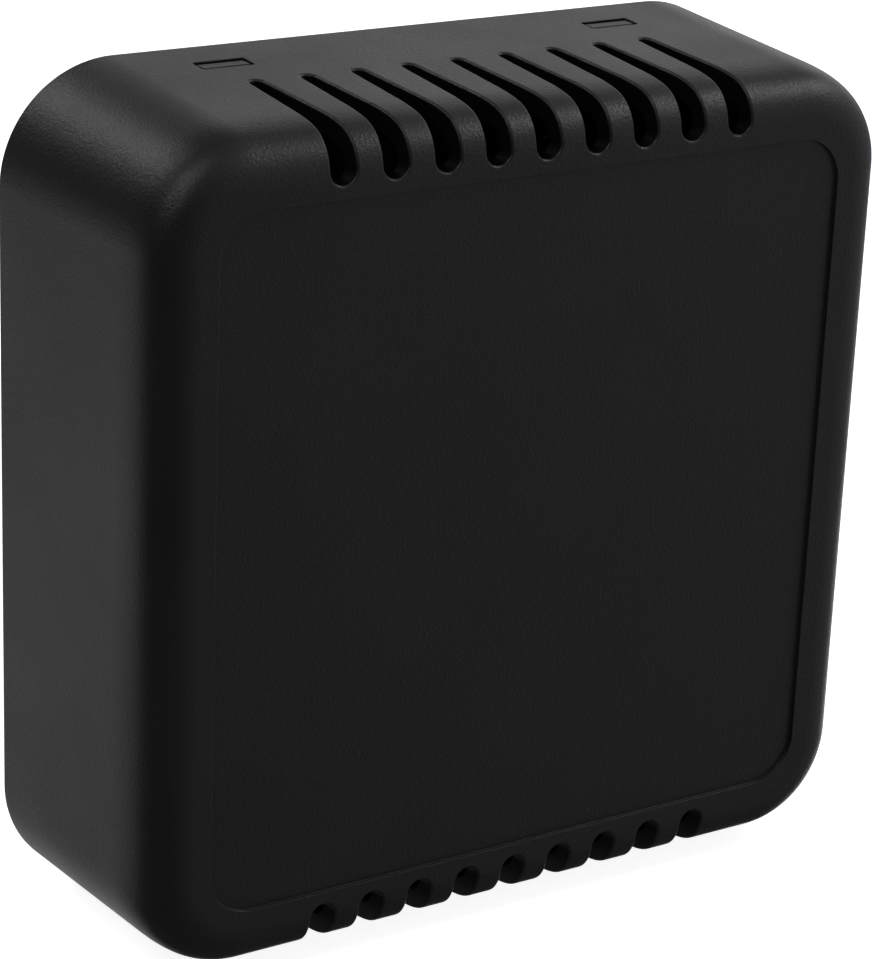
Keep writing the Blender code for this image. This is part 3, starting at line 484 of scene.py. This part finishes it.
def round_openings(mesh):
    """Holes at the height of the button, plunger and light pipe, all at the switch's depth."""
    (y, _), _ = middle_and_half(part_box("pair_switch"))
    holes = (
        ("pair_button", BUTTON_HOLE_RADIUS),
        ("reset_plunger", RESET_HOLE_RADIUS),
        ("light_pipe", LIGHT_HOLE_RADIUS),
    )
    for node, radius in holes:
        (_, z), _ = middle_and_half(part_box(node))
        turns = [math.tau * step / HOLE_STEPS for step in range(HOLE_STEPS)]
        cut_side_wall(mesh, [(y + radius * math.cos(turn), z + radius * math.sin(turn)) for turn in turns])


def port_cutter(mesh):
    """The side openings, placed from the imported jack, inlet, button, plunger and light pipe."""
    jack_opening(mesh)
    inlet_opening(mesh)
    round_openings(mesh)


def mesh_object(name, mesh):
    data = bpy.data.meshes.new(name)
    mesh.to_mesh(data)
    mesh.free()
    obj = bpy.data.objects.new(name, data)
    bpy.context.scene.collection.objects.link(obj)
    return obj


def cut(target, name, mesh):
    helper = mesh_object(name, mesh)
    modifier = target.modifiers.new(name, "BOOLEAN")
    modifier.operation = "DIFFERENCE"
    modifier.solver = "EXACT"
    modifier.object = helper
    bpy.context.view_layer.update()
    graph = bpy.context.evaluated_depsgraph_get()
    data = bpy.data.meshes.new_from_object(target.evaluated_get(graph))
    target.modifiers.clear()
    target.data = data
    bpy.data.objects.remove(helper, do_unlink=True)


def weight_lips(obj, skin):
    """Marks the edges where an opening breaks the outer skin, so that they're rounded."""
    data = obj.data
    work = bmesh.new()
    work.from_mesh(data)
    bmesh.ops.remove_doubles(work, verts=work.verts, dist=WELD_DISTANCE)
    layer = work.edges.layers.float.new("bevel_weight_edge")
    panel = PANEL_SIDE / 2 + PANEL_MARGIN
    outside = {}
    for face in work.faces:
        _, normal, _, distance = skin.find_nearest(face.calc_center_median())
        outside[face] = distance < SKIN_TOLERANCE and face.normal.dot(normal) > SKIN_FACING
    for edge in work.edges:
        if len(edge.link_faces) != 2:
            continue
        middle = (edge.verts[0].co + edge.verts[1].co) / 2
        if middle.y > -REAR_MARGIN or max(abs(middle.x), abs(middle.z)) < panel:
            continue
        if outside[edge.link_faces[0]] != outside[edge.link_faces[1]]:
            window = abs(abs(middle.x) - HOOK_X) < WINDOW_WIDTH and middle.y > -HOOK_SETBACK - WINDOW_LENGTH
            edge[layer] = WINDOW_LIP / VENT_LIP if window or abs(middle.z) < PANEL_SIDE / 2 else 1.0
    work.to_mesh(data)
    work.free()


def round_lips(obj):
    """Rounds the marked edges, then keeps flat faces flat and the remaining corners crisp."""
    modifier = obj.modifiers.new("lips", "BEVEL")
    modifier.limit_method = "WEIGHT"
    modifier.width = VENT_LIP
    modifier.segments = LIP_SEGMENTS
    modifier.use_clamp_overlap = False
    modifier.loop_slide = False
    bpy.context.view_layer.update()
    graph = bpy.context.evaluated_depsgraph_get()
    data = bpy.data.meshes.new_from_object(obj.evaluated_get(graph))
    obj.modifiers.clear()
    obj.data = data
    data.shade_smooth()
    data.set_sharp_from_angle(angle=SHARP_ANGLE)
    normals = obj.modifiers.new("normals", "WEIGHTED_NORMAL")
    normals.keep_sharp = True


def paint_inside(obj, skin):
    """The walls of the openings and the inner skin get a smoother finish and a darker colour than the outer
    skin; the darker colour is painted shade.
    """
    for face in obj.data.polygons:
        centre = face.center
        if abs(centre.x) < PANEL_SIDE / 2 + MM and abs(centre.z) < PANEL_SIDE / 2 + 0.2 * MM:
            inside = centre.y > -DEPTH + PANEL_DEPTH + 0.1 * MM
        else:
            inside = skin.find_nearest(centre)[3] > VENT_LIP * 0.8
        face.material_index = 1 if inside else 0


def build_cover(materials):
    mesh = bmesh.new()
    loft(mesh, [*panel_rings(), *reversed(cover_rings(0.0)), *cover_rings(WALL)])
    cover = mesh_object("cover_shell", mesh)
    vents = bmesh.new()
    middle = (VENT_COUNT - 1) / 2
    for index in range(VENT_COUNT):
        for side in (1, -1):
            vent_cutter(vents, (index - middle) * VENT_PITCH, side)
    cut(cover, "vents", vents)
    windows = bmesh.new()
    for x in (-HOOK_X, HOOK_X):
        for side in (1, -1):
            window_cutter(windows, x, side)
    cut(cover, "windows", windows)
    ports = bmesh.new()
    port_cutter(ports)
    cut(cover, "ports", ports)
    skin = outer_skin()
    weight_lips(cover, skin)
    round_lips(cover)
    cover.data.materials.clear()
    cover.data.materials.append(materials["case_black"])
    # The second finish paints shade into the openings and onto the inner skin.
    cover.data.materials.append(materials["case_inside_painted_shade"])
    paint_inside(cover, skin)
    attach(cover, "cover")
    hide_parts("front_cover")


# ---------------------------------------------------------------- studio


def add_panel(name, azimuth, elevation, distance, size, radiance):
    """A soft light at this bearing from +Y towards +X, facing the object."""
    turn, lift = math.radians(azimuth), math.radians(elevation)
    way = Vector((math.sin(turn) * math.cos(lift), math.cos(turn) * math.cos(lift), math.sin(lift)))
    light = bpy.data.lights.new(name, "AREA")
    light.shape = "RECTANGLE"
    light.size, light.size_y = size
    light.energy = radiance * math.pi * size[0] * size[1]
    obj = bpy.data.objects.new(name, light)
    bpy.context.scene.collection.objects.link(obj)
    obj.location = way * distance
    obj.rotation_euler = way.to_track_quat("Z", "Y").to_euler()
    obj.visible_camera = False


def build_world():
    """A dim room that brightens towards the upper right and a little towards the front."""
    world = bpy.data.worlds.new("studio")
    world.use_nodes = True
    tree = world.node_tree
    background = tree.nodes["Background"]
    background.inputs["Color"].default_value = (0.98, 0.98, 1.0, 1.0)
    facing = tree.nodes.new("ShaderNodeVectorMath")
    facing.operation = "DOT_PRODUCT"
    facing.inputs[1].default_value = BRIGHT_SIDE
    tree.links.new(tree.nodes.new("ShaderNodeTexCoord").outputs["Generated"], facing.inputs[0])
    level = tree.nodes.new("ShaderNodeMapRange")
    level.interpolation_type = "SMOOTHSTEP"
    level.inputs["From Min"].default_value = 0.1
    level.inputs["From Max"].default_value = 0.95
    level.inputs["To Min"].default_value = 0.05
    level.inputs["To Max"].default_value = 0.42
    tree.links.new(facing.outputs["Value"], level.inputs["Value"])
    tree.links.new(level.outputs["Result"], background.inputs["Strength"])
    bpy.context.scene.world = world


def build_studio():
    """Floor, backdrop and lights. The floor casts no shadow, so panels below it still light the object."""
    low = CAD_BOX[0]
    floor_mesh = bmesh.new()
    bmesh.ops.create_grid(floor_mesh, x_segments=2, y_segments=2, size=FLOOR_REACH)
    floor = mesh_object("floor", floor_mesh)
    floor.location = (0.0, 0.0, low[2] - FLOOR_GAP)
    floor.visible_glossy = False
    floor.visible_shadow = False
    material, _, shader = new_material("pale_floor")
    shader.inputs["Base Color"].default_value = (0.8, 0.8, 0.8, 1.0)
    shader.inputs["Roughness"].default_value = 1.0
    shader.inputs["Specular IOR Level"].default_value = 0.0
    shader.inputs["Emission Color"].default_value = (1.0, 1.0, 1.0, 1.0)
    shader.inputs["Emission Strength"].default_value = 0.9
    floor.data.materials.append(material)

    dome_mesh = bmesh.new()
    bmesh.ops.create_uvsphere(dome_mesh, u_segments=48, v_segments=24, radius=BACKDROP_RADIUS)
    dome = mesh_object("backdrop", dome_mesh)
    dome.visible_diffuse = False
    dome.visible_glossy = False
    dome.visible_transmission = False
    dome.visible_shadow = False
    dome.data.materials.append(material)

    build_world()
    add_panel("back_wall", 37.0, 11.0, 1.3, (1.65, 0.5), 1.03)
    add_panel("back_left_lamp", -19.0, 34.0, 1.1, (0.26, 0.18), 9.0)
    add_panel("left_overhead", -106.0, 53.0, 1.0, (0.3, 0.42), 5.0)
    add_panel("left_table", -38.0, -21.0, 1.2, (1.0, 0.55), 0.55)
    add_panel("near_table", 12.0, -37.0, 1.2, (0.9, 0.5), 0.8)
    add_panel("right_table", 48.0, -28.0, 1.2, (1.0, 0.5), 1.5)
    add_panel("overhead_right", 107.0, 42.0, 0.8, (0.18, 0.14), 16.0)


def build_camera():
    azimuth, elevation, roll = CAMERA_AZIMUTH, CAMERA_ELEVATION, CAMERA_ROLL
    back = Vector(
        (
            math.sin(azimuth) * math.cos(elevation),
            -math.cos(azimuth) * math.cos(elevation),
            math.sin(elevation),
        )
    )
    level = Vector((0.0, 0.0, 1.0)).cross(back).normalized()
    upright = back.cross(level)
    right = level * math.cos(roll) + upright * math.sin(roll)
    up = upright * math.cos(roll) - level * math.sin(roll)
    data = bpy.data.cameras.new("camera")
    data.lens = CAMERA_LENS
    data.sensor_width = SENSOR_WIDTH
    data.clip_start = 0.01
    data.clip_end = 20.0
    camera = bpy.data.objects.new("camera", data)
    bpy.context.scene.collection.objects.link(camera)
    place = AIM + right * AIM_RIGHT + up * AIM_UP + back * CAMERA_DISTANCE
    matrix = camera.matrix_world.copy()
    for row in range(3):
        matrix[row][0], matrix[row][1], matrix[row][2] = right[row], up[row], back[row]
        matrix[row][3] = place[row]
    camera.matrix_world = matrix
    bpy.context.scene.camera = camera


build_camera()
materials = make_materials()
dress_frame(materials)
build_cover(materials)
build_studio()
bpy.context.scene.view_settings.view_transform = "Standard"
